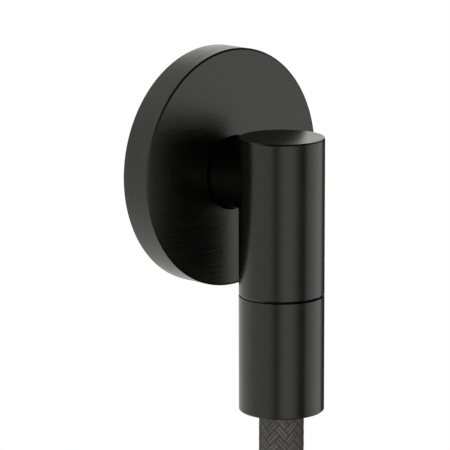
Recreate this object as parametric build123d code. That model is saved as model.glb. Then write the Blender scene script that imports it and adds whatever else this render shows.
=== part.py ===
from build123d import *
from math import atan2, cos, pi, radians, sin, tan
import os

# Wall outlet elbow for a hand shower, with its hose.
# Millimetres. The origin is where the inlet's axis meets the wall, +Y goes into the wall, +Z is up.

# Wall flange: a turned disc that slides along the neck and covers the hole in the wall
flange_diameter = 75.0
flange_depth = 10.3
flange_rise = 1.6  # the disc's centre stands this far above its bore
flange_face = 5.0  # thickness of the front wall
flange_rim = 4.0  # thickness of the wall round the edge
flange_ease = 0.3  # gap between the bore and the neck
flange_lead = 0.65  # chamfer at the mouth of the bore
flange_bevel = 0.3  # down the side, at the front edge
flange_bevel_width = 0.6  # of the same bevel, across the face

# Flange seal: a rubber ring that grips the neck behind the flange's front wall
seal_width = 2.2
seal_depth = 2.0
seal_ease = 0.03

# Elbow body: an upright cylinder with a horizontal neck, one piece
body_diameter = 26.7
body_offset = 31.2  # from the wall to the upright axis
body_top = 13.8  # above the inlet's axis
body_length = 49.5
neck_diameter = 21.7
waterway_diameter = 12.0
body_bevel = 0.55  # along the side, at the top and the bottom of the cylinder
body_bevel_width = 0.2  # of the same bevels, across the flat faces

# Pipe thread G 1/2, as a plain cylinder at its pitch diameter
thread_diameter = 19.793
thread_ease = 0.03  # between a male and a female thread
thread_lead = 0.6  # chamfer at the start of a thread
inlet_length = 16.0
inlet_reach = 14.0  # how far the inlet goes into the wall
spigot_length = 11.0

# Hose and the fitting in each of its ends
hose_diameter = 14.2
hose_bore = 8.9
collar_diameter = 18.6
collar_thickness = 2.0
stem_length = 15.0
stem_ease = 0.05
stem_bore = 6.8
washer_diameter = 18.4
washer_bore = 11.0
washer_thickness = 2.0
ferrule_wall = 0.65
ferrule_length = 13.0
ferrule_ease = 0.05
ferrule_setback = 0.6  # from the collar

# Hose nut: the long sleeve that carries on the line of the body
nut_length = 36.6
seam_gap = 0.3  # between the body and the tightened nut
nut_bevel = 0.32  # at the end that the hose comes out of
nut_ease = 0.3  # between a nut and the ferrule that it turns on
nut_slack = 0.1  # between the collar and the nut at the far end, which is loose
relief_diameter = 21.2  # undercut at the blind end of a nut's thread
relief_margin = 0.3  # that the undercut reaches past the washer

# Hose route: straight down, a lean to the side, three turns and the end hanging beside them
lead_points = [(0, 0, 0), (0, 0, -55.4), (24.7, 9.0, -104.9)]  # from the insert in the elbow
coil_radius = 73.0
coil_turns = 3
coil_pitch = 14.3
tail_length = 78.0
arc_share = 0.45  # of a run that the bend beside it takes
hose_sides = 12  # flats that stand for the round hose
coil_sides = 24  # flats that stand for the round coil

# Strap round the coil
tie_width = 12.0
tie_thickness = 1.2
tie_ease = 0.3


def turned(profile):
    """Solid of revolution about Z, from a closed outline of (radius, height) points."""
    return revolve(make_face(Plane.XZ * Polyline(*profile, close=True)), Axis.Z)


def washer(outer_radius, inner_radius, low, high):
    """Flat ring about Z."""
    return turned([(inner_radius, low), (outer_radius, low), (outer_radius, high), (inner_radius, high)])


# What the pieces share
INTO_WALL = Rot(X=-90)  # turns +Z to +Y
UPSIDE_DOWN = Rot(X=180)
body_radius = body_diameter / 2
neck_radius = neck_diameter / 2
thread_radius = thread_diameter / 2
nut_thread_radius = thread_radius + thread_ease
hose_radius = hose_diameter / 2
flange_bore_radius = neck_radius + flange_ease
flange_back = flange_face - flange_depth
inlet_shoulder = inlet_reach - inlet_length
shoulder = body_top - body_length
spigot_end = shoulder - spigot_length
hose_end = spigot_end - washer_thickness - collar_thickness
ferrule_radius = hose_radius + ferrule_ease + ferrule_wall
nut_bore_radius = ferrule_radius + nut_ease
upright = Pos(0, -body_offset, 0)


def wall_flange():
    """Disc hollowed from behind, with a bore for the neck below its centre."""
    outer = flange_diameter / 2
    inner = outer - flange_rim
    disc = turned(
        [
            (0, -flange_depth),
            (outer - flange_bevel_width, -flange_depth),
            (outer, -flange_depth + flange_bevel),
            (outer, 0),
            (inner, 0),
            (inner, flange_back),
            (0, flange_back),
        ]
    )
    bore = turned(
        [
            (0, -flange_depth),
            (flange_bore_radius + flange_lead, -flange_depth),
            (flange_bore_radius, -flange_depth + flange_lead),
            (flange_bore_radius, flange_back),
            (0, flange_back),
        ]
    )
    return Pos(0, 0, flange_rise) * (INTO_WALL * disc) - INTO_WALL * bore


def flange_seal():
    """Ring round the neck that bears on the back of the flange's front wall."""
    inner = neck_radius + seal_ease
    return INTO_WALL * washer(inner + seal_depth, inner, flange_back, flange_back + seal_width)


def elbow_body():
    """Upright cylinder with the outlet spigot under it, the neck with the inlet thread, and the waterway."""
    post = turned(
        [
            (0, body_top),
            (body_radius - body_bevel_width, body_top),
            (body_radius, body_top - body_bevel),
            (body_radius, shoulder + body_bevel),
            (body_radius - body_bevel_width, shoulder),
            (thread_radius, shoulder),
            (thread_radius, spigot_end),
            (0, spigot_end),
        ]
    )
    neck = turned(
        [
            (0, -body_offset),
            (neck_radius, -body_offset),
            (neck_radius, inlet_shoulder),
            (thread_radius, inlet_shoulder),
            (thread_radius, inlet_reach - thread_lead),
            (thread_radius - thread_lead, inlet_reach),
            (0, inlet_reach),
        ]
    )
    bore_radius = waterway_diameter / 2
    down = washer(bore_radius, 0, spigot_end, bore_radius)
    along = washer(bore_radius, 0, -body_offset, inlet_reach)
    return upright * post + INTO_WALL * neck - upright * down - INTO_WALL * along


def sleeve_nut():
    """Sleeve with a female thread above, an undercut and a shoulder for the collar, and a bore for the hose."""
    washer_top = collar_thickness + washer_thickness
    relief_top = washer_top + relief_margin
    top = washer_top + spigot_length - seam_gap
    bottom = top - nut_length
    return turned(
        [
            (nut_thread_radius, top),
            (body_radius, top),
            (body_radius, bottom + nut_bevel),
            (body_radius - nut_bevel, bottom),
            (nut_bore_radius, bottom),
            (nut_bore_radius, 0),
            (relief_diameter / 2, 0),
            (relief_diameter / 2, relief_top),
            (nut_thread_radius, relief_top),
        ]
    )


def insert():
    """Collar that the nut draws up, with a stem inside the hose."""
    stem_radius = hose_bore / 2 - stem_ease
    return turned(
        [
            (stem_bore / 2, collar_thickness),
            (collar_diameter / 2, collar_thickness),
            (collar_diameter / 2, 0),
            (stem_radius, 0),
            (stem_radius, -stem_length),
            (stem_bore / 2, -stem_length),
        ]
    )


def ferrule():
    """Crimped ring round the end of the hose."""
    return washer(
        ferrule_radius, hose_radius + ferrule_ease, -ferrule_setback - ferrule_length, -ferrule_setback
    )


def end_washer():
    """Flat washer on the collar."""
    return washer(
        washer_diameter / 2, washer_bore / 2, collar_thickness, collar_thickness + washer_thickness
    )


# Route of the hose, from the insert in the elbow to the coil
upper_end = Pos(0, -body_offset, hose_end)
lead_start, lead_bend, lead_stop = [upper_end.position + Vector(*point) for point in lead_points]
first_run = lead_bend - lead_start
last_run = lead_stop - lead_bend
lead_turn = radians(first_run.get_angle(last_run))
lead_radius = arc_share * min(first_run.length, last_run.length) / tan(lead_turn / 2)
hose_section = RegularPolygon(hose_radius, hose_sides)

# The coil takes the hose over at the slope of its last run and lets it go straight down
lean = atan2(last_run.X, -last_run.Z)
turns_made = coil_turns + lean / (2 * pi)
coil_centre = lead_stop - Vector(coil_radius * cos(lean), 0, coil_radius * sin(lean))
coil_middle = Pos(coil_centre - Vector(0, turns_made * coil_pitch / 2, 0))
coil_width = (coil_turns - 1) * coil_pitch + hose_diameter
tail_start = coil_centre + Vector(coil_radius, -turns_made * coil_pitch, 0)
tail_stop = tail_start - Vector(0, 0, tail_length)
far_end = Pos(tail_stop) * UPSIDE_DOWN


def at_both_ends(piece):
    """The same piece in the elbow and at the hose's far end."""
    return Compound(children=[upper_end * piece, far_end * piece])


def stem_hole():
    """Space that the insert's stem takes in the end of the hose."""
    return washer(hose_bore / 2, 0, -stem_length - stem_ease, 0)


def hose_lead():
    """Hose from the insert down to the coil."""
    path = FilletPolyline(lead_start, lead_bend, lead_stop, radius=[lead_radius])
    tube = sweep(upper_end * UPSIDE_DOWN * hose_section, path=path)
    print(f"lead: length {path.length:.1f}, bend radius {lead_radius:.1f}")
    print(f"lead: volume {tube.volume:.0f}, section times length {hose_section.area * path.length:.0f}")
    return tube - upper_end * stem_hole()


def hose_coil():
    """Outer shape of the wound length, a ring with its axis along Y."""
    flat = Rot(Z=180 / coil_sides)
    outside = flat * RegularPolygon(coil_radius + hose_radius, coil_sides, major_radius=False)
    inside = flat * RegularPolygon(coil_radius - hose_radius, coil_sides, major_radius=False)
    return coil_middle * INTO_WALL * extrude(outside - inside, coil_width / 2, both=True)


def hose_tail():
    """End of the hose, hanging down beside the coil."""
    return Pos(tail_stop) * extrude(hose_section, tail_length) - far_end * stem_hole()


def hose_tie():
    """Strap round the turns, on the side of the coil that is away from the hose's ends."""
    across = hose_diameter + 2 * tie_ease
    along = coil_width + 2 * tie_ease
    outside = Rectangle(across + 2 * tie_thickness, along + 2 * tie_thickness)
    band = extrude(outside - Rectangle(across, along), tie_width / 2, both=True)
    return coil_middle * Pos(X=-coil_radius) * band


nodes = {
    "wall_flange": wall_flange(),
    "flange_seal": flange_seal(),
    "elbow_body": elbow_body(),
    "hose_nut": upper_end * sleeve_nut(),
    "end_nut": far_end * Pos(Z=-nut_slack) * sleeve_nut(),
    "hose_inserts": at_both_ends(insert()),
    "hose_ferrules": at_both_ends(ferrule()),
    "hose_washers": at_both_ends(end_washer()),
    "hose_lead": hose_lead(),
    "hose_coil": hose_coil(),
    "hose_tie": hose_tie(),
    "hose_tail": hose_tail(),
}

os.makedirs("parts", exist_ok=True)
for name, solid in nodes.items():
    export_step(solid, f"parts/{name}.step")
coil_length = 2 * pi * turns_made * coil_radius
print(f"hose length {first_run.length + last_run.length + coil_length + tail_length:.0f}")
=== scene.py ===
from math import cos, pi, radians, sin

import bpy
import numpy as np
from mathutils import Matrix, Vector


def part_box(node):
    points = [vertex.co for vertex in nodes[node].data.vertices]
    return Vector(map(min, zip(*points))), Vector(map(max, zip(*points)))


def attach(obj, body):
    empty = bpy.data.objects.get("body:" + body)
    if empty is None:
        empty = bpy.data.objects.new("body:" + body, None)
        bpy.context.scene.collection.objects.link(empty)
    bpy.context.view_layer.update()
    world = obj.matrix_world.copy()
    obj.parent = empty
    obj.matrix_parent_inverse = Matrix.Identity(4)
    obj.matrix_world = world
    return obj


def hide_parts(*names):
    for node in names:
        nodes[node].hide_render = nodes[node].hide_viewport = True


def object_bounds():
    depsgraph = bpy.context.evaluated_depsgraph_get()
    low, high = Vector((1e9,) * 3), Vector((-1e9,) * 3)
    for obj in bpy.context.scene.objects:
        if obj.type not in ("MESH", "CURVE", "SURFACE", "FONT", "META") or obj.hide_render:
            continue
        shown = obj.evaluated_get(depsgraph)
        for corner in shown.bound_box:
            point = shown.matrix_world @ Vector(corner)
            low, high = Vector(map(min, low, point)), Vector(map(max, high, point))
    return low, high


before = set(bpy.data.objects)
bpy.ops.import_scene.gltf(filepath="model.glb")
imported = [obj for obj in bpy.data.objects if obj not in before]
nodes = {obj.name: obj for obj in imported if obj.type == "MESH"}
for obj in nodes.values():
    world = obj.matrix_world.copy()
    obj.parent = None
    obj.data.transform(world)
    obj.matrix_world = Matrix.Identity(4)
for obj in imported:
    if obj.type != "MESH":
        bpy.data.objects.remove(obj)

cad_low, cad_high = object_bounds()


# Wall flange: a disc turned from brass bar, hollowed from behind and bored for the neck.
# Its dark metal coat is brushed, straight across the face and round the rim.
# It slides along the neck until it covers the hole in the wall.

class Field:
    """A node's output as a value to calculate with. Each operation adds a node to the same tree."""

    def __init__(self, socket):
        self.socket = socket

    def node(self, kind, settings, inputs, out=0):
        """Adds a node of that kind to the tree, with its settings first and then its inputs."""
        tree = self.socket.id_data
        made = tree.nodes.new(kind)
        for name, value in settings.items():
            setattr(made, name, value)
        for key, value in inputs.items():
            if isinstance(value, Field):
                tree.links.new(value.socket, made.inputs[key])
            else:
                made.inputs[key].default_value = value
        return Field(made.outputs[out])

    def math(self, operation, *others):
        """A Math node with this value first."""
        return self.node("ShaderNodeMath", {"operation": operation}, dict(enumerate((self, *others))))

    def __add__(self, other):
        return self.math("ADD", other)

    def __sub__(self, other):
        return self.math("SUBTRACT", other)

    def __mul__(self, other):
        return self.math("MULTIPLY", other)

    def __mod__(self, other):
        return self.math("FLOORED_MODULO", other)

    def __abs__(self):
        return self.math("ABSOLUTE")

    def __rsub__(self, other):
        return self * -1.0 + other

    __radd__ = __add__
    __rmul__ = __mul__

    def smooth(self, low, high):
        """Goes from 0 at low to 1 at high, with a soft start and end."""
        settings = {"interpolation_type": "SMOOTHSTEP"}
        return self.node("ShaderNodeMapRange", settings, {0: self, 1: low, 2: high})

    def mix(self, first, second):
        """The first colour where this value is 0 and the second where it is 1."""
        return self.node("ShaderNodeMix", {"data_type": "RGBA"}, {0: self, 6: first, 7: second}, out=2)

    def stretched(self, *factors):
        """This vector with each of its parts times its own factor."""
        return self.node("ShaderNodeVectorMath", {"operation": "MULTIPLY"}, {0: self, 1: factors})

    def noise(self):
        """Soft noise around one half, which changes over about one unit of this vector."""
        return self.node("ShaderNodeTexNoise", {}, {"Vector": self, "Scale": 1.0, "Detail": 2.0})

    def spots(self, rate):
        """Soft noise that changes that often in one unit of this vector, the same along each axis."""
        return self.stretched(rate, rate, rate).noise()

    def parts(self):
        """The three parts of this vector."""
        split = self.node("ShaderNodeSeparateXYZ", {}, {0: self}).socket.node
        return [Field(socket) for socket in split.outputs]

    def feeds(self, shader, name):
        """Links this value to an input of the shader."""
        self.socket.id_data.links.new(self.socket, shader.inputs[name])


def new_finish(name, **uniform):
    """A material, its shader with the uniform values set, and its node of texture coordinates."""
    material = bpy.data.materials.new(name)
    material.use_nodes = True
    shader = material.node_tree.nodes["Principled BSDF"]
    for key, value in uniform.items():
        shader.inputs[key.replace("_", " ")].default_value = value
    return material, shader, material.node_tree.nodes.new("ShaderNodeTexCoord")


def bump(height, depth):
    """Normal of a surface that stands out by the height times the depth, in metres."""
    return height.node("ShaderNodeBump", {}, {"Strength": 1.0, "Distance": depth, "Height": height})


COAT = (0.0633, 0.0633, 0.0600, 1.0)
COAT_PALE = (0.0707, 0.0707, 0.0671, 1.0)
COAT_METAL = 0.98  # the rest of the coat scatters a little light
COAT_ROUGHNESS = 0.12  # where it is smoothest
LINE_ROUGHNESS = 0.22  # added in the brush lines
MOTTLE_ROUGHNESS = 0.06  # added in the mottle
SATIN_ROUGHNESS = 0.03  # added on satin faces
LINE_SHARE = 0.6  # of the brush lines in what turns the coat pale, the rest being mottle
PALE_EDGE = (0.35, 0.7)
LINES_ACROSS = 3400.0  # per metre, across the brush lines
LINES_ALONG = 65.0  # per metre, along them
LINE_DEPTH = 1.4e-6  # metres
MOTTLE = 160.0  # per metre
RIM_CONTRAST = 3.0  # of the lines round the rim, over those on the face
FACING = (0.6, 0.8)  # part of a normal along an axis, from which a face counts as looking that way


def brush_lines(place, across):
    """Noise drawn out into fine lines: it changes fast along one axis and slowly along the other two."""
    return place.stretched(*[LINES_ACROSS if axis == across else LINES_ALONG for axis in "XYZ"]).noise()


def brushed_coat(name, lines_on):
    """Dark coated metal. From a point's place and the way its face looks, lines_on gives the brush lines
    and how far the face has a satin finish instead."""
    material, shader, texture = new_finish(name, Metallic=COAT_METAL)
    place = Field(texture.outputs["Object"])
    lines, satin = lines_on(place, Field(texture.outputs["Normal"]))
    mottle = place.spots(MOTTLE)
    pale = lines * LINE_SHARE + mottle * (1 - LINE_SHARE)
    rough = COAT_ROUGHNESS + LINE_ROUGHNESS * lines + MOTTLE_ROUGHNESS * mottle + SATIN_ROUGHNESS * satin
    pale.smooth(*PALE_EDGE).mix(COAT, COAT_PALE).feeds(shader, "Base Color")
    rough.feeds(shader, "Roughness")
    bump(lines, LINE_DEPTH).feeds(shader, "Normal")
    return material


def flange_lines(place, normal):
    """Lines along X on the front and back, which are a little more satin, and strong ones round the rim."""
    flat = abs(normal.parts()[1]).smooth(*FACING)
    rim = RIM_CONTRAST * (brush_lines(place, "Y") - 0.5) + 0.5
    return flat * brush_lines(place, "Z") + (1 - flat) * rim, flat


nodes["wall_flange"].data.materials[0] = brushed_coat("flange_coat", flange_lines)


# Flange seal: a ring of black rubber, moulded.
# It lies behind the flange's front wall and grips the neck, so that the flange stays where it is pushed.

RUBBER = (0.016, 0.016, 0.017, 1.0)
RUBBER_BLOOM = (0.030, 0.030, 0.031, 1.0)
RUBBER_SPECULAR = 0.35
RUBBER_ROUGHNESS = 0.55
BLOOM_ROUGHNESS = 0.2  # added in the bloom
BLOOM = 300.0  # per metre
BLOOM_EDGE = (0.4, 0.7)
GRAIN = 9000.0  # per metre
GRAIN_DEPTH = 6.0e-6  # metres


def rubber(name):
    """Black rubber with a faint grey bloom and a fine moulded grain."""
    material, shader, texture = new_finish(name, Specular_IOR_Level=RUBBER_SPECULAR)
    place = Field(texture.outputs["Object"])
    bloom = place.spots(BLOOM)
    bloom.smooth(*BLOOM_EDGE).mix(RUBBER, RUBBER_BLOOM).feeds(shader, "Base Color")
    (RUBBER_ROUGHNESS + BLOOM_ROUGHNESS * bloom).feeds(shader, "Roughness")
    bump(place.spots(GRAIN), GRAIN_DEPTH).feeds(shader, "Normal")
    return material


seal_rubber = rubber("seal_rubber")
nodes["flange_seal"].data.materials[0] = seal_rubber


# Elbow body: an upright cylinder with a horizontal neck, machined from one brass casting.
# It is brushed round its axis, and the neck ends in a G 1/2 pipe thread, cut after the brushing.
# The thread screws into the wall and holds the whole fitting.

MM = 0.001
nut_low, nut_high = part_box("hose_nut")
post_y = (nut_low.y + nut_high.y) / 2
post_radius = (nut_high.x - nut_low.x) / 2
NECK_START = (0.02 * MM, 0.06 * MM)  # beyond the cylinder's surface, where the neck's finish begins
TOP_LINES = 0.4  # of the strength that the lines have elsewhere
NECK_LINES = 0.4


def body_lines(place, normal):
    """Lines round the upright cylinder, and weak ones along X on its satin top and round the neck."""
    x, y, z = place.parts()
    forward = y - post_y
    from_axis = (x * x + forward * forward).math("SQRT")
    neck = (from_axis - post_radius).smooth(*NECK_START)
    level = abs(normal.parts()[2]).smooth(*FACING) * (1 - neck)
    upright = (1 - neck) * (1 - level)
    weak = TOP_LINES * level + NECK_LINES * neck
    return upright * brush_lines(place, "Z") + weak * brush_lines(place, "Y"), level


def soft_step(t):
    """0 below 0, 1 above 1, and the smooth cubic between them."""
    t = np.clip(t, 0, 1)
    return t * t * (3 - 2 * t)


SHARP_EDGE = radians(40)  # angle between two faces, from which their edge isn't smoothed


def skin(name, rings):
    """Closed mesh through rings of points, an array of rings by points by 3. Each end is closed by a fan
    to the middle of its ring, and the faces are turned so that the volume inside is positive."""
    count, size = rings.shape[:2]
    grid = np.arange(count * size).reshape(count, size)
    beside = np.roll(grid, -1, axis=1)
    quads = np.stack([grid[:-1], grid[1:], beside[1:], beside[:-1]], axis=-1).reshape(-1, 4)
    first, last = count * size, count * size + 1
    fans = np.concatenate([
        np.stack([np.full(size, first), grid[0], beside[0]], axis=-1),
        np.stack([np.full(size, last), beside[-1], grid[-1]], axis=-1),
    ])
    points = np.concatenate([rings.reshape(-1, 3), rings[:1].mean(1), rings[-1:].mean(1)])
    corners = points - points.mean(0)
    thirds = np.concatenate([quads[:, [0, 1, 2]], quads[:, [0, 2, 3]], fans])
    a, b, c = (corners[thirds[:, k]] for k in range(3))
    if np.einsum("ij,ij->", a, np.cross(b, c)) < 0:
        quads, fans = quads[:, ::-1], fans[:, ::-1]
    mesh = bpy.data.meshes.new(name)
    mesh.from_pydata(points, [], quads.tolist() + fans.tolist())
    mesh.polygons.foreach_set("use_smooth", np.ones(len(mesh.polygons), bool))
    mesh.set_sharp_from_angle(angle=SHARP_EDGE)
    piece = bpy.data.objects.new(name, mesh)
    bpy.context.scene.collection.objects.link(piece)
    return piece


PITCH = 25.4 * MM / 14  # 14 threads to the inch
CREST_RADIUS = 20.955 / 2 * MM
PITCH_RADIUS = 19.793 / 2 * MM
SINK = 0.06 * MM  # how far a thread's foot lies inside the metal that carries it
THREAD_STEPS = 72  # points in one turn
FLANKS = np.array([[-0.40, -0.10, 0.10, 0.40]])  # of a pitch: foot, crest, crest and foot of the profile
RUN_OUT = 0.03  # of the full height, at the two ends of a thread


def thread_ridge(name, foot, crest, length, place_at):
    """Ridge of a pipe thread: a flat-topped profile carried along a helix, from foot to crest radius.
    It runs out over half a turn at each end. place_at puts x, y and the distance along the axis into
    the part."""
    turns = length / PITCH
    turn = np.linspace(0, turns, int(turns * THREAD_STEPS))[:, None]
    height = RUN_OUT + (1 - RUN_OUT) * soft_step(2 * turn) * soft_step(2 * (turns - turn))
    radius = foot + (crest - foot) * height * np.array([[0, 1, 1, 0]])
    x = radius * np.cos(2 * pi * turn)
    y = radius * np.sin(2 * pi * turn)
    return skin(name, place_at(x, y, PITCH * (turn + FLANKS)))


INLET_THREAD = (-0.6 * MM, 12.4 * MM)  # from and to, along the inlet
thread_start, thread_stop = INLET_THREAD
inlet_thread = thread_ridge(
    "inlet_thread",
    PITCH_RADIUS - SINK,
    CREST_RADIUS,
    thread_stop - thread_start,
    lambda x, y, along: np.stack([x, along + thread_start, -y], axis=-1),
)
thread_coat = brushed_coat("thread_coat", lambda place, normal: (brush_lines(place, "Y"), 0.0))
nodes["elbow_body"].data.materials[0] = brushed_coat("body_coat", body_lines)
inlet_thread.data.materials.append(thread_coat)
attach(inlet_thread, "elbow")


# Hose nuts: long sleeves turned from brass bar and brushed round their axis like the body.
# One is screwed up to the body, with a fine seam between them.
# Its twin hangs loose on the hose's far end, and shows its thread in its mouth.

def nut_lines(place, normal):
    """Lines round the nut, which has satin ends."""
    return brush_lines(place, "Z"), abs(normal.parts()[2]).smooth(*FACING)


nut_coat = brushed_coat("nut_coat", nut_lines)
for name in ("hose_nut", "end_nut"):
    nodes[name].data.materials[0] = nut_coat

MINOR_RADIUS = 18.631 / 2 * MM
THREAD_EASE = 0.03 * MM
NUT_THREAD_LENGTH = 8.4 * MM
NUT_THREAD_LEAD = 1.0 * MM  # from the nut's mouth to the start of its thread
end_low, end_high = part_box("end_nut")
end_x, end_y = (end_low.x + end_high.x) / 2, (end_low.y + end_high.y) / 2
end_thread = thread_ridge(
    "end_nut_thread",
    PITCH_RADIUS + THREAD_EASE + SINK,
    MINOR_RADIUS,
    NUT_THREAD_LENGTH,
    lambda x, y, along: np.stack([x + end_x, y + end_y, along + end_low.z + NUT_THREAD_LEAD], axis=-1),
)
end_thread.data.materials.append(nut_coat)
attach(end_thread, "end_nut")


# Hose fittings: a turned brass insert in each end of the hose, crimped under a ferrule.
# A flat rubber washer lies on each insert's collar.

BRASS = (0.50, 0.34, 0.13, 1.0)
BRASS_DULL = (0.36, 0.25, 0.10, 1.0)
BRASS_ROUGHNESS = 0.22
DULL_ROUGHNESS = 0.2  # added where it is dull
RING_ROUGHNESS = 0.1  # added in the lathe's rings
DULL = 400.0  # per metre
DULL_EDGE = (0.4, 0.65)


def turned_brass(name):
    """Bare brass with the fine rings that the lathe leaves and a dull bloom."""
    material, shader, texture = new_finish(name, Metallic=1.0)
    place = Field(texture.outputs["Object"])
    rings = brush_lines(place, "Z")
    dull = place.spots(DULL)
    dull.smooth(*DULL_EDGE).mix(BRASS, BRASS_DULL).feeds(shader, "Base Color")
    (BRASS_ROUGHNESS + DULL_ROUGHNESS * dull + RING_ROUGHNESS * rings).feeds(shader, "Roughness")
    bump(rings, LINE_DEPTH).feeds(shader, "Normal")
    return material


fitting_brass = turned_brass("fitting_brass")
for name in ("hose_inserts", "hose_ferrules"):
    nodes[name].data.materials[0] = fitting_brass
nodes["hose_washers"].data.materials[0] = seal_rubber


# Hose: a flexible tube of 14 mm under a braid of dark yarn, two over and two under, in fourteen columns.
# It hangs straight out of the nut, leans to the side and is wound up three times.
# Its end hangs beside the coil with the loose nut on it.

HOSE_RADIUS = 7.1 * MM
HOSE_BORE_RADIUS = 4.45 * MM
STEM_DEPTH = 15.05 * MM  # of the space for an insert's stem
LEAD_POINTS = [(0, 0, 0), (0, 0, -38), (0, 0, -55.4), (24.7, 9.0, -104.9)]  # mm, from the hose's upper end
COIL_RADIUS = 73.0 * MM
COIL_TURNS = 3
COIL_PITCH = 14.3 * MM
TAIL_LENGTH = 78.0 * MM
TAIL_SHARES = (0, 0.35, 1)  # of the tail's length, where its points are
TURN_POINTS = 16  # of the route, in one turn of the coil
LINE_STEPS = 16  # along the line, for each point of the route

hose_top = Vector((0, post_y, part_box("hose_lead")[1].z))
lead = [hose_top + Vector(point) * MM for point in LEAD_POINTS]
last_run = lead[-1] - lead[-2]
lean = np.arctan2(last_run.x, -last_run.z)
coil_x = lead[-1].x - COIL_RADIUS * cos(lean)
coil_z = lead[-1].z - COIL_RADIUS * sin(lean)
coil_angle = lean + 2 * pi * COIL_TURNS
coil_drift = COIL_PITCH * coil_angle / (2 * pi)
coil_steps = round(coil_angle / (2 * pi) * TURN_POINTS)
# The points stand a little outside the coil, because the line passes inside them.
corner_radius = COIL_RADIUS / cos(coil_angle / coil_steps / 2)
route = [tuple(point) for point in lead]
for step in range(1, coil_steps):
    share = step / coil_steps
    angle = lean - coil_angle * share
    x, z = coil_x + corner_radius * cos(angle), coil_z + corner_radius * sin(angle)
    route.append((x, lead[-1].y - coil_drift * share, z))
for share in TAIL_SHARES:
    route.append((coil_x + COIL_RADIUS, lead[-1].y - coil_drift, coil_z - TAIL_LENGTH * share))

line = bpy.data.curves.new("hose_line", "CURVE")
line.dimensions = "3D"
spline = line.splines.new("NURBS")
spline.points.add(len(route) - 1)
spline.points.foreach_set("co", np.append(np.array(route), np.ones((len(route), 1)), axis=1).ravel())
spline.order_u = 3
spline.use_endpoint_u = True
spline.resolution_u = LINE_STEPS
line_holder = bpy.data.objects.new("hose_line", line)
bpy.context.scene.collection.objects.link(line_holder)
traced = bpy.data.meshes.new_from_object(line_holder.evaluated_get(bpy.context.evaluated_depsgraph_get()))
hose_path = np.empty(len(traced.vertices) * 3)
traced.vertices.foreach_get("co", hose_path)
hose_path = hose_path.reshape(-1, 3)
bpy.data.objects.remove(line_holder)
bpy.data.meshes.remove(traced)

COLUMNS = 14  # of the braid, round the hose
CELLS = 2 * COLUMNS
cell = 2 * pi * HOSE_RADIUS / CELLS
BRAID_STRETCH = 1.1  # length of a cell along the hose, over its width
BRAID_TURN = 2.0  # cells that the pattern is moved by, round the hose and along it
BRAID_SLIDE = -0.4
BRAID_DEPTH = 0.20 * MM
FLOAT_ARCH = 0.4  # the lower, the flatter along a float
STRAND_VAULT = 6  # the higher, the flatter across a strand
FINE_START, FINE_STOP = 18 * MM, 62 * MM  # the stretch below the nut that is nearest to the eye
FINE_STEP, COARSE_STEP = 1 / 4, 2 / 3  # of a cell, between the rings of the mesh
HIDDEN_RINGS = 12  # inside the nut
CELL_POINTS = 2  # of a ring, in one cell


def braid_cells(u, v):
    """Cells round and along the hose, from turns round it and distances along it in the same unit."""
    return u * CELLS + BRAID_TURN, v * (CELLS / BRAID_STRETCH) + BRAID_SLIDE


def braid(p, q):
    """Height of a braid, two over and two under, from 0 to 1. p and q count cells round and along the
    hose. Strands of one kind run along p + q, the others along p - q. The sum of the two strand numbers,
    modulo 4, says which is on top. That strand is an arch along its float and a low vault across it."""
    s, t = (p + q) / 2, (p - q) / 2
    order = (np.floor(s) + np.floor(t)) % 4
    first = order < 2
    across = np.where(first, t, s) % 1
    along = (np.where(first, s, t) % 1 + order % 2) / 2
    return np.sin(pi * along) ** FLOAT_ARCH * (1 - np.abs(2 * across - 1) ** STRAND_VAULT)


reach = np.append(0, np.cumsum(np.linalg.norm(np.diff(hose_path, axis=0), axis=1)))
hose_end = reach[-1]
outside = np.concatenate([
    np.linspace(0, FINE_START, HIDDEN_RINGS, endpoint=False),
    np.arange(FINE_START, FINE_STOP, cell * FINE_STEP),
    np.arange(FINE_STOP, hose_end - cell * COARSE_STEP / 2, cell * COARSE_STEP),
    [hose_end],
])
stations = np.concatenate([[STEM_DEPTH, 0], outside, [hose_end, hose_end - STEM_DEPTH]])
in_bore = np.ones(len(stations), bool)
in_bore[2:-2] = False
turn = np.linspace(0, 2 * pi, CELLS * CELL_POINTS, endpoint=False)
girth = 2 * pi * HOSE_RADIUS
height = braid(*braid_cells(turn[None] / (2 * pi), stations[:, None] / girth))
radius = np.where(in_bore[:, None], HOSE_BORE_RADIUS, HOSE_RADIUS - BRAID_DEPTH * (1 - height))
middle = np.stack([np.interp(stations, reach, hose_path[:, k]) for k in range(3)], axis=-1)
heading = np.gradient(hose_path, reach, axis=0)
heading = np.stack([np.interp(stations, reach, heading[:, k]) for k in range(3)], axis=-1)
heading /= np.linalg.norm(heading, axis=1, keepdims=True)
side = np.array([0, 1, 0]) - heading[:, 1:2] * heading
side /= np.linalg.norm(side, axis=1, keepdims=True)
up = np.cross(heading, side)
round_hose = np.cos(turn)[None, :, None] * side[:, None] + np.sin(turn)[None, :, None] * up[:, None]
hose = skin("hose", middle[:, None] + radius[..., None] * round_hose)


def lay_pattern(piece, stations, unit):
    """UV map of a skin: turns round it, and its stations along it in the same unit of length."""
    count = len(stations)
    size = len(piece.data.vertices) // count
    corners = np.zeros(len(piece.data.loops), int)
    piece.data.loops.foreach_get("vertex_index", corners)
    u = (corners % size) / size
    v = stations[np.minimum(corners // size, count - 1)] / unit
    quads = corners[:4 * (count - 1) * size].reshape(-1, 4) % size
    wraps = (quads == 0) & (quads == size - 1).any(1, keepdims=True)
    u[:quads.size] += wraps.ravel()
    layer = piece.data.uv_layers.new(name="pattern")
    layer.data.foreach_set("uv", np.stack([u, v], axis=-1).astype(np.float32).ravel())


lay_pattern(hose, stations, girth)

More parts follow.
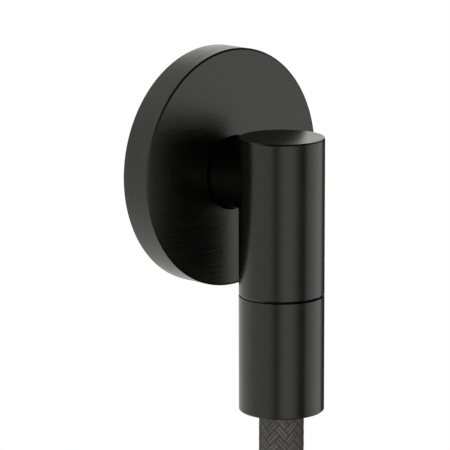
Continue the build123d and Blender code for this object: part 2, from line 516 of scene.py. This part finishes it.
YARN_GREY = (0.071, 0.070, 0.067, 1.0)
YARN_BROWN = (0.089, 0.078, 0.073, 1.0)
# colour of a painted sheen along the crown of each yarn
YARN_SHEEN = (0.209, 0.193, 0.186, 1.0)
# colour of the painted shade where the strands part and dip
YARN_GAP_SHADE = (0.041, 0.038, 0.037, 1.0)
YARN_SPECULAR = 0.12
YARN_ROUGHNESS = 0.7
WEAR_ROUGHNESS = 0.2  # added where the yarn is worn
WEAR = 60.0  # spots round the hose
WEAR_EDGE = (0.25, 0.55)
BROWN_EDGE = (0.3, 0.7)
FIBRES = (16.0, 3.0, 3.7)  # across a strand, along a float and from strand to strand
FIBRE_TONE = 0.4
THREAD_PLACE = 0.21  # of a strand's width, from its middle to the line along each of its two yarns, where a sheen is painted
THREAD_EDGE = (0.02, 0.08)
FAINTEST_SHEEN = 0.4
STRAND_EDGE = (0.42, 0.5)  # of a strand's width, from its middle, where it falls away and painted shade darkens it
FLOAT_END = (0.38, 0.5)  # of a float's length, from its middle, where it dips and painted shade darkens it
EDGE_SHADE, DIP_SHADE = 0.6, 0.55
YARN_RELIEF = 0.09 * MM
THREAD_RISE, FIBRE_RISE, EDGE_FALL, DIP_FALL = 0.4, 0.3, 0.5, 0.2  # of that relief
OTHER_KIND = 57.0  # sets the strand numbers of the two kinds apart
braid_finish, shader, texture = new_finish("hose_braid", Specular_IOR_Level=YARN_SPECULAR)
pattern = Field(texture.outputs["UV"])
u, v, _ = pattern.parts()
p, q = braid_cells(u, v)
s, t = (p + q) * 0.5, (p - q) * 0.5
order = (s.math("FLOOR") + t.math("FLOOR")) % 4.0
first = order.math("LESS_THAN", 1.5)
run_across = (first * t + (1 - first) * s) % COLUMNS
across = run_across.math("FRACT")
along = ((first * s + (1 - first) * t) % 1.0 + order % 2.0) * 0.5
strand = run_across.math("FLOOR") + OTHER_KIND * first
yarn = strand * 2.0 + across.math("GREATER_THAN", 0.5)
shine = yarn.node("ShaderNodeTexWhiteNoise", {"noise_dimensions": "1D"}, {"W": yarn})
tone = strand.node("ShaderNodeTexWhiteNoise", {"noise_dimensions": "1D"}, {"W": strand})
wear = pattern.spots(WEAR)
fibre_place = strand.node("ShaderNodeCombineXYZ", {}, {0: across, 1: along, 2: strand})
fibre = fibre_place.stretched(*FIBRES).noise()
thread = 1 - abs(abs(across - 0.5) - THREAD_PLACE).smooth(*THREAD_EDGE)
edge = abs(across - 0.5).smooth(*STRAND_EDGE)
dip = abs(along - 0.5).smooth(*FLOAT_END)
# painted sheen: a light line along the crown of each yarn, its strength changing from yarn to yarn and
# strongest where the yarn is worn
painted_sheen = thread * (FAINTEST_SHEEN + (1 - FAINTEST_SHEEN) * shine) * wear.smooth(*WEAR_EDGE)
brown = 0.5 * tone + 0.5 * wear + FIBRE_TONE * (fibre - 0.5)
ground = brown.smooth(*BROWN_EDGE).mix(YARN_GREY, YARN_BROWN)
# painted shade where the strands part and where each float dips under the next strand
painted_gap_shade = (EDGE_SHADE * edge + DIP_SHADE * dip).smooth(0.0, 1.0)
painted_gap_shade.mix(painted_sheen.mix(ground, YARN_SHEEN), YARN_GAP_SHADE).feeds(shader, "Base Color")
(YARN_ROUGHNESS + WEAR_ROUGHNESS * wear).feeds(shader, "Roughness")
relief = THREAD_RISE * thread + FIBRE_RISE * fibre - EDGE_FALL * edge - DIP_FALL * dip
bump(relief, YARN_RELIEF).feeds(shader, "Normal")
hose.data.materials.append(braid_finish)
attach(hose, "elbow")
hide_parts("hose_lead", "hose_coil", "hose_tail")


# Hose tie: a strap of black woven tape round the three turns.
# Its end laps over itself on the inner side of the coil, where it is pressed fast.

TIE_WIDTH = 12.0 * MM
TIE_THICKNESS = 1.1 * MM
TIE_GAP = 0.2 * MM  # between the hose and the strap
TIE_START = -0.15  # of a round, from the middle of the flat side away from the coil's axis
TIE_STOP = 1.15
TIE_RISE = (0.78, 0.85)  # of a round, where the strap climbs on to its own start
TIE_LIFT = 1.05  # of its thickness, that it climbs
TIE_RINGS, TIE_POINTS = 260, 24  # of the mesh, along the strap and round its section
SIDE_SQUARE, FACE_SQUARE = 0.25, 0.5  # the lower, the squarer the section's sides and faces
tie_low, tie_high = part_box("hose_tie")
tie_x, tie_y, tie_z = (tie_low + tie_high) / 2
half_flat = COIL_PITCH * (COIL_TURNS - 1) / 2
bend_radius = HOSE_RADIUS + TIE_GAP + TIE_THICKNESS / 2
half_round = 2 * half_flat + pi * bend_radius

distance = np.linspace(TIE_START, TIE_STOP, TIE_RINGS) * 2 * half_round
climb = soft_step((distance / (2 * half_round) - TIE_RISE[0]) / (TIE_RISE[1] - TIE_RISE[0]))
arm = bend_radius + TIE_LIFT * TIE_THICKNESS * climb
here = (distance + half_flat) % (2 * half_round)
bend = np.clip((here - 2 * half_flat) / bend_radius, 0, pi)
bend += np.clip((here - 2 * half_flat - half_round) / bend_radius, 0, pi)
flat_y = np.clip(here, 0, 2 * half_flat) - np.clip(here - half_round, 0, 2 * half_flat) - half_flat
section = np.linspace(0, 2 * pi, TIE_POINTS, endpoint=False)
wide = TIE_WIDTH / 2 * np.sign(np.cos(section)) * np.abs(np.cos(section)) ** SIDE_SQUARE
thick = TIE_THICKNESS / 2 * np.sign(np.sin(section)) * np.abs(np.sin(section)) ** FACE_SQUARE
outward = arm[:, None] + thick[None]
tie = skin("hose_strap", np.stack([
    tie_x + outward * np.cos(bend)[:, None],
    tie_y + flat_y[:, None] + outward * np.sin(bend)[:, None],
    tie_z + np.broadcast_to(wide, outward.shape),
], axis=-1))

TAPE = (0.022, 0.022, 0.024, 1.0)
TAPE_LIGHT = (0.050, 0.050, 0.053, 1.0)
TAPE_SPECULAR = 0.25
TAPE_ROUGHNESS = 0.75
FUZZ_ROUGHNESS = 0.15  # added in the fuzz
FUZZ = 1500.0  # per metre
WEFT, WARP = 9000.0, 7000.0  # of the weave, in radians per metre
WEAVE_DEPTH = 0.06 * MM
HEM = (4.6 * MM, 5.0 * MM)  # from the strap's middle, where its plain hem begins
HEM_RISE = 1.5  # of the weave's depth
tape, shader, texture = new_finish("tie_tape", Specular_IOR_Level=TAPE_SPECULAR)
place = Field(texture.outputs["Object"])
x, y, z = place.parts()
weave = (z * WEFT).math("SINE") * ((x + y) * WARP).math("SINE")
hem = abs(z - tie_z).smooth(*HEM)
fuzz = place.spots(FUZZ)
(0.5 * weave.smooth(-1.0, 1.0) + 0.5 * fuzz).mix(TAPE, TAPE_LIGHT).feeds(shader, "Base Color")
(TAPE_ROUGHNESS + FUZZ_ROUGHNESS * fuzz).feeds(shader, "Roughness")
bump((1 - hem) * weave + HEM_RISE * hem, WEAVE_DEPTH).feeds(shader, "Normal")
tie.data.materials.append(tape)
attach(tie, "elbow")
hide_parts("hose_tie")


# Studio: a pale round floor below the hanging hose, soft light from all sides and one large soft lamp.
# White panels stand round the fitting, with dark gaps between them that show as bands on the metal.
# The camera looks at the fitting from the left and from a little above, through a long lens.

FLOOR_DROP = 30.0 * MM
FLOOR_THICKNESS = 4.0 * MM
FLOOR_RADII = (0.001, 0.2, 0.4, 0.6, 0.9, 0.9)  # of its rings, the last of them on the underside
FLOOR_POINTS = 96  # of a ring
FLOOR_FADE = (0.2, 0.6)  # where the floor turns into the white backdrop
FLOOR_TONE = (0.86, 0.86, 0.86, 1.0)
FLOOR_WHITE = 0.45  # share of the backdrop's white in the floor below the fitting
floor_top = cad_low.z - FLOOR_DROP
floor_radii = np.array(FLOOR_RADII)[:, None]
floor_levels = np.full_like(floor_radii, floor_top)
floor_levels[-1] -= FLOOR_THICKNESS
turn = np.linspace(0, 2 * pi, FLOOR_POINTS, endpoint=False)[None]
floor = skin("floor", np.stack([
    floor_radii * np.cos(turn),
    floor_radii * np.sin(turn),
    np.broadcast_to(floor_levels, (len(floor_levels), turn.size)),
], axis=-1))
floor_finish, shader, texture = new_finish("floor_paint", Base_Color=FLOOR_TONE, Specular_IOR_Level=0.0)
x, y, z = Field(texture.outputs["Object"]).parts()
far = FLOOR_WHITE + (1 - FLOOR_WHITE) * (x * x + y * y).math("SQRT").smooth(*FLOOR_FADE)
seen = Field(floor_finish.node_tree.nodes.new("ShaderNodeLightPath").outputs["Is Camera Ray"])
white = far.node("ShaderNodeEmission", {}, {"Color": (1.0, 1.0, 1.0, 1.0), "Strength": 1.0})
paint = far.node("ShaderNodeMixShader", {}, {0: far * seen, 1: Field(shader.outputs[0]), 2: white})
paint.feeds(floor_finish.node_tree.nodes["Material Output"], "Surface")
floor.data.materials.append(floor_finish)
floor.visible_glossy = False

LAMP_POWER = 15.0
LAMP_SIZE = 1.0
LAMP_PLACE = Vector((-1.62, -0.79, -0.18))
LAMP_AIM = Vector((0, 0, -0.1))
lamp_data = bpy.data.lights.new("soft_lamp", "AREA")
lamp_data.energy = LAMP_POWER
lamp_data.size = LAMP_SIZE
lamp = bpy.data.objects.new("soft_lamp", lamp_data)
lamp.location = LAMP_PLACE
lamp.rotation_euler = (LAMP_AIM - LAMP_PLACE).to_track_quat("-Z", "Y").to_euler()
lamp.visible_glossy = False
bpy.context.scene.collection.objects.link(lamp)

FILL = 0.30  # light from all sides, on what doesn't mirror the panels
WALL_FILL = 0.64  # added by the studio's walls
WALL_TOP = (0.35, 0.1)  # rise of a ray, up or down, where the walls end and where they are full
BACKDROP = 0.94  # level of the panels straight behind the fitting
PANEL_EDGES = [  # degrees from straight in front, half width of the soft edge, change of level
    (-140, 20, -0.33),
    (-69, 8, -0.45),
    (-50, 9, 0.64),
    (-6, 13, -0.57),
    (8, 8, -0.20),
    (24.5, 6, 0.76),
    (40, 8, 0.17),
    (51, 8, 0.32),
    (88, 7, -1.24),
    (128, 10, 0.78),
    (170, 12, 0.12),
]
PANEL_LEAN = 5.0  # degrees that the panels on the right lean outwards, at the height of the hose nut
LEAN_LEFT, LEAN_RIGHT = (-45, -20), (125, 100)  # degrees, where the leaning panels begin and end
LEAN_LOW = (-0.19, -0.28)  # rise of a ray, where they start to lean and where they do
PANEL_TOPS = [(0.65, -0.12, 0.22), (0.345, 0.22, 0.45)]  # level lost in front, and from and to which rise
PANEL_FEET = (0.99, -0.33, -0.70)  # share of that level lost below, from and to which rise
FEET_LIFT = 0.15  # by which the feet end higher on the right
FEET_RIGHT = (30, 60)  # degrees
BACK_SLOPES = [(-0.12, -0.1, 0.5), (0.06, -0.3, -0.7)]  # change of level behind, from and to which rise
BACK_ENDS = [(0.95, 0.74, 0.88), (0.9, -0.80, -0.92)]  # share of it lost, from and to which rise
BEHIND = (0.0, 0.4)  # part of a ray towards the wall, from which it meets the panels behind
HIGHLIGHT = 0.40  # level added by a round soft light, behind on the right and a little above
HIGHLIGHT_REACH = (26, 5)  # degrees from its middle, where it begins and where it is full
highlight_azimuth, highlight_height = radians(137), radians(24)
world = bpy.data.worlds.new("studio")
world.use_nodes = True
world.cycles.sampling_method = "NONE"
bpy.context.scene.world = world
way = Field(world.node_tree.nodes.new("ShaderNodeTexCoord").outputs["Generated"])
x, y, z = way.parts()
azimuth = x.math("ARCTAN2", y * -1.0) * (180 / pi)
lean_share = azimuth.smooth(*LEAN_LEFT) * azimuth.smooth(*LEAN_RIGHT) * z.smooth(*LEAN_LOW)
leaning = azimuth + PANEL_LEAN * lean_share
panels = BACKDROP
for degrees, soft, change in PANEL_EDGES:
    panels = panels + change * leaning.smooth(degrees - soft, degrees + soft)
front = 1
for loss, start, stop in PANEL_TOPS:
    front = front - loss * z.smooth(start, stop)
loss, start, stop = PANEL_FEET
front = front * (1 - loss * z.smooth(start, FEET_LIFT * azimuth.smooth(*FEET_RIGHT) + stop))
back = 1
for change, start, stop in BACK_SLOPES:
    back = back + change * z.smooth(start, stop)
for share, start, stop in BACK_ENDS:
    back = back * (1 - share * z.smooth(start, stop))
behind = y.smooth(*BEHIND)
spread = (1 - behind) * front + behind * back
glint = (
    x * (sin(highlight_azimuth) * cos(highlight_height))
    - y * (cos(highlight_azimuth) * cos(highlight_height))
    + z * sin(highlight_height)
).smooth(*np.cos(np.radians(HIGHLIGHT_REACH)))
studio = panels * spread + HIGHLIGHT * glint
ray = world.node_tree.nodes.new("ShaderNodeLightPath").outputs
camera_ray, glossy_ray = Field(ray["Is Camera Ray"]), Field(ray["Is Glossy Ray"])
mirror_ray = glossy_ray.math("MAXIMUM", Field(ray["Is Transmission Ray"]))
fill = FILL + WALL_FILL * abs(z).smooth(*WALL_TOP)
seen_light = camera_ray + (1 - camera_ray) * (mirror_ray * studio + fill * (1 - mirror_ray))
seen_light.feeds(world.node_tree.nodes["Background"], "Color")

VIEW_AZIMUTH = radians(-45.18)
VIEW_ELEVATION = radians(11.928)
VIEW_ROLL = radians(-0.143)
VIEW_DISTANCE = 951.04 * MM
AIM_RIGHT = 4.65 * MM  # from the flange's centre to the picture's
AIM_DOWN = 19.57 * MM
SENSOR = 36.0
PICTURE_WIDTH = 450  # pixels
VIEW_DEPTH = 3016.0  # pixels, from the eye to a picture of that width
flange_low, flange_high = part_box("wall_flange")
flange_centre = Vector((0, 0, (flange_low.z + flange_high.z) / 2))
backward = Vector((
    sin(VIEW_AZIMUTH) * cos(VIEW_ELEVATION),
    -cos(VIEW_AZIMUTH) * cos(VIEW_ELEVATION),
    sin(VIEW_ELEVATION),
))
level = Vector((cos(VIEW_AZIMUTH), sin(VIEW_AZIMUTH), 0))
rise = backward.cross(level)
right = level * cos(VIEW_ROLL) + rise * sin(VIEW_ROLL)
above = rise * cos(VIEW_ROLL) - level * sin(VIEW_ROLL)
camera_data = bpy.data.cameras.new("camera")
camera_data.sensor_width = SENSOR
camera_data.lens = VIEW_DEPTH / PICTURE_WIDTH * SENSOR
camera = bpy.data.objects.new("camera", camera_data)
eye = flange_centre + right * AIM_RIGHT - above * AIM_DOWN + backward * VIEW_DISTANCE
camera.matrix_world = Matrix.Translation(eye) @ Matrix((right, above, backward)).transposed().to_4x4()
bpy.context.scene.collection.objects.link(camera)
bpy.context.scene.camera = camera
bpy.context.scene.view_settings.view_transform = "Standard"
